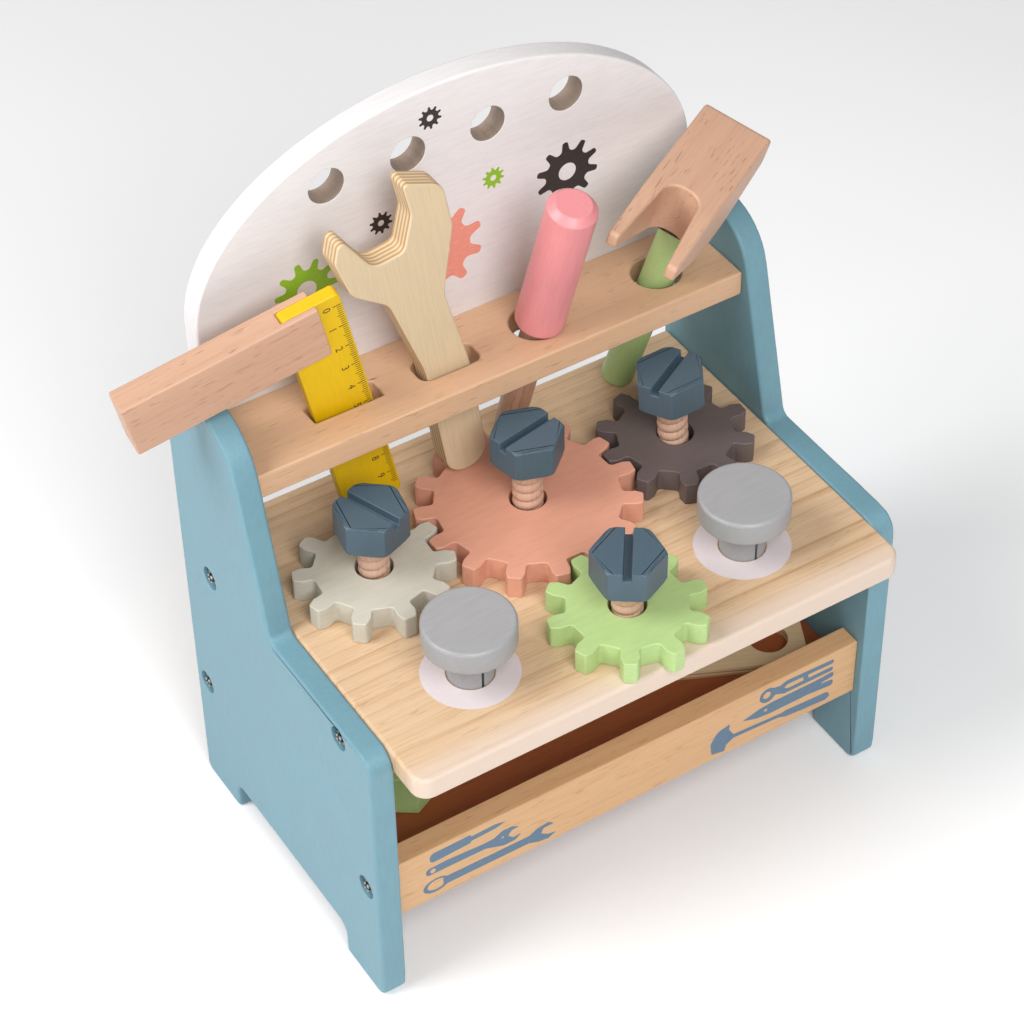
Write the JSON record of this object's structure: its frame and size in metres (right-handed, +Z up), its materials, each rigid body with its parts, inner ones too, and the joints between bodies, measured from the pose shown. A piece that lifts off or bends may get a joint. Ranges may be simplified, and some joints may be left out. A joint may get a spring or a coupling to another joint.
{
  "type": "toy tool bench",
  "caption": "Toy tool bench: two side panels carry a work top with turning gears, slotted bolts and push pegs, a tray, a back board and a rack that holds four wooden tools.",
  "frame": {"origin": "centre of the outline on the floor, under the feet", "axes": "+Z up, +X to the right and +Y to the back, seen from the front"},
  "size_m": [0.2544, 0.1541, 0.287],
  "materials": {
    "blue_paint": "satin water-based paint on wood, worn softly round at the edges",
    "white_paint": "satin white paint on wood with printed gears",
    "pine": "clear satin varnish over knot-free pine with long brown grain lines",
    "rail_wood": "clear satin varnish over warm brown wood",
    "rack_wood": "clear satin varnish over light brown wood",
    "floor_wood": "dark brown stained thin plywood",
    "coral_paint": "satin coral paint on wood",
    "cream_paint": "satin cream paint on wood",
    "grey_paint": "satin grey-brown paint on wood",
    "green_paint": "satin light green paint on wood",
    "bolt_paint": "satin dark blue-grey paint on wood",
    "bolt_wood": "bare turned beech with a coarse rounded thread",
    "peg_paint": "satin grey paint on turned wood",
    "beech": "bare sanded beech with short dark flecks",
    "yellow_paint": "satin yellow paint with printed black graduations",
    "plywood": "bare sanded birch plywood with thin layers on its edges",
    "pink_paint": "satin pink paint on turned wood",
    "steel": "bright zinc-plated steel"
  },
  "bodies": {
    "root": {"side_panel_left": "blue_paint", "side_panel_right": "blue_paint", "bench_top": "pine", "front_rail": "rail_wood", "rear_rail": "rail_wood", "tray_floor": "floor_wood", "tool_rack": "rack_wood", "back_board": "white_paint", "panel_screws_left": "steel", "panel_screws_right": "steel", "rack_screws": "steel"},
    "gear_coral": {"gear_coral": "coral_paint"},
    "gear_cream": {"gear_cream": "cream_paint"},
    "gear_grey": {"gear_grey": "grey_paint"},
    "gear_green": {"gear_green": "green_paint"},
    "bolt_shaft_coral": {"bolt_shaft_coral": "bolt_wood"},
    "bolt_head_coral": {"bolt_head_coral": "bolt_paint"},
    "bolt_shaft_cream": {"bolt_shaft_cream": "bolt_wood"},
    "bolt_head_cream": {"bolt_head_cream": "bolt_paint"},
    "bolt_shaft_grey": {"bolt_shaft_grey": "bolt_wood"},
    "bolt_head_grey": {"bolt_head_grey": "bolt_paint"},
    "bolt_shaft_green": {"bolt_shaft_green": "bolt_wood"},
    "bolt_head_green": {"bolt_head_green": "bolt_paint"},
    "peg_left": {"peg_head_left": "peg_paint", "peg_stem_left": "peg_paint"},
    "peg_right": {"peg_head_right": "peg_paint", "peg_stem_right": "peg_paint"},
    "try_square": {"square_stock": "beech", "square_blade": "yellow_paint"},
    "wrench": {"wrench": "plywood"},
    "screwdriver": {"driver_handle": "pink_paint", "driver_shaft": "beech"},
    "hammer": {"hammer_head": "beech", "hammer_handle": "green_paint"},
    "tray_link": {"tray_link": "plywood"},
    "tray_block": {"tray_block": "green_paint"}
  },
  "joints": [
    {"name": "turn_gear_coral", "type": "hinge", "parent": "root", "child": "gear_coral", "pos_m": [0.0117, 0.0161, 0.13], "axis": [0, 0, 1], "continuous": true},
    {"name": "turn_gear_cream", "type": "hinge", "parent": "root", "child": "gear_cream", "pos_m": [-0.0523, 0.0161, 0.13], "axis": [0, 0, 1], "continuous": true},
    {"name": "turn_gear_grey", "type": "hinge", "parent": "root", "child": "gear_grey", "pos_m": [0.0757, 0.0161, 0.13], "axis": [0, 0, 1], "continuous": true},
    {"name": "turn_gear_green", "type": "hinge", "parent": "root", "child": "gear_green", "pos_m": [0.0117, -0.0479, 0.13], "axis": [0, 0, 1], "continuous": true},
    {"name": "rise_bolt_coral", "type": "slide", "parent": "root", "child": "bolt_shaft_coral", "axis": [0, 0, 1], "range_m": [-0.016, 0.004]},
    {"name": "turn_bolt_coral", "type": "hinge", "parent": "bolt_shaft_coral", "child": "bolt_head_coral", "pos_m": [0.0117, 0.0161, 0.1209], "axis": [0, 0, 1], "range_deg": [-1441, 361]},
    {"name": "rise_bolt_cream", "type": "slide", "parent": "root", "child": "bolt_shaft_cream", "axis": [0, 0, 1], "range_m": [-0.012, 0.008]},
    {"name": "turn_bolt_cream", "type": "hinge", "parent": "bolt_shaft_cream", "child": "bolt_head_cream", "pos_m": [-0.0523, 0.0161, 0.1209], "axis": [0, 0, 1], "range_deg": [-1081, 721]},
    {"name": "rise_bolt_grey", "type": "slide", "parent": "root", "child": "bolt_shaft_grey", "axis": [-0.0559, 0.025, 0.9981], "range_m": [-0.016, 0.008]},
    {"name": "turn_bolt_grey", "type": "hinge", "parent": "bolt_shaft_grey", "child": "bolt_head_grey", "pos_m": [0.0757, 0.0161, 0.1209], "axis": [-0.0559, 0.025, 0.9981], "range_deg": [-1441, 721]},
    {"name": "rise_bolt_green", "type": "slide", "parent": "root", "child": "bolt_shaft_green", "axis": [0, 0, 1], "range_m": [-0.012, 0.008]},
    {"name": "turn_bolt_green", "type": "hinge", "parent": "bolt_shaft_green", "child": "bolt_head_green", "pos_m": [0.0117, -0.0479, 0.1209], "axis": [0, 0, 1], "range_deg": [-1081, 721]},
    {"name": "push_peg_left", "type": "slide", "parent": "root", "child": "peg_left", "axis": [0, 0, 1], "range_m": [-0.015, 0.012]},
    {"name": "push_peg_right", "type": "slide", "parent": "root", "child": "peg_right", "axis": [0, 0, 1], "range_m": [-0.015, 0.012]},
    {"name": "lift_try_square", "type": "slide", "parent": "root", "child": "try_square", "axis": [-0.2136, -0.0459, 0.9759], "range_m": [0, 0.06]},
    {"name": "lift_wrench", "type": "slide", "parent": "root", "child": "wrench", "axis": [-0.1392, 0, 0.9903], "range_m": [0, 0.055]},
    {"name": "lift_screwdriver", "type": "slide", "parent": "root", "child": "screwdriver", "axis": [0.0626, -0.2602, 0.9635], "range_m": [0, 0.065]},
    {"name": "lift_hammer", "type": "slide", "parent": "root", "child": "hammer", "axis": [0.1128, -0.2723, 0.9556], "range_m": [0, 0.065]},
    {"name": "lift_tray_link", "type": "slide", "parent": "root", "child": "tray_link", "axis": [0, 0, 1], "range_m": [0, 0.05]},
    {"name": "lift_tray_block", "type": "slide", "parent": "root", "child": "tray_block", "axis": [0, 0, 1], "range_m": [0, 0.04]}
  ],
  "couplings": [
    {"joint": "turn_gear_cream", "follows": "turn_gear_coral", "ratio": -1.5},
    {"joint": "turn_gear_grey", "follows": "turn_gear_coral", "ratio": -1.5},
    {"joint": "turn_gear_green", "follows": "turn_gear_coral", "ratio": -1.5},
    {"joint": "turn_bolt_coral", "follows": "rise_bolt_coral", "rad_per_m": 1570.8},
    {"joint": "turn_bolt_cream", "follows": "rise_bolt_cream", "rad_per_m": 1570.8},
    {"joint": "turn_bolt_grey", "follows": "rise_bolt_grey", "rad_per_m": 1570.8},
    {"joint": "turn_bolt_green", "follows": "rise_bolt_green", "rad_per_m": 1570.8}
  ]
}
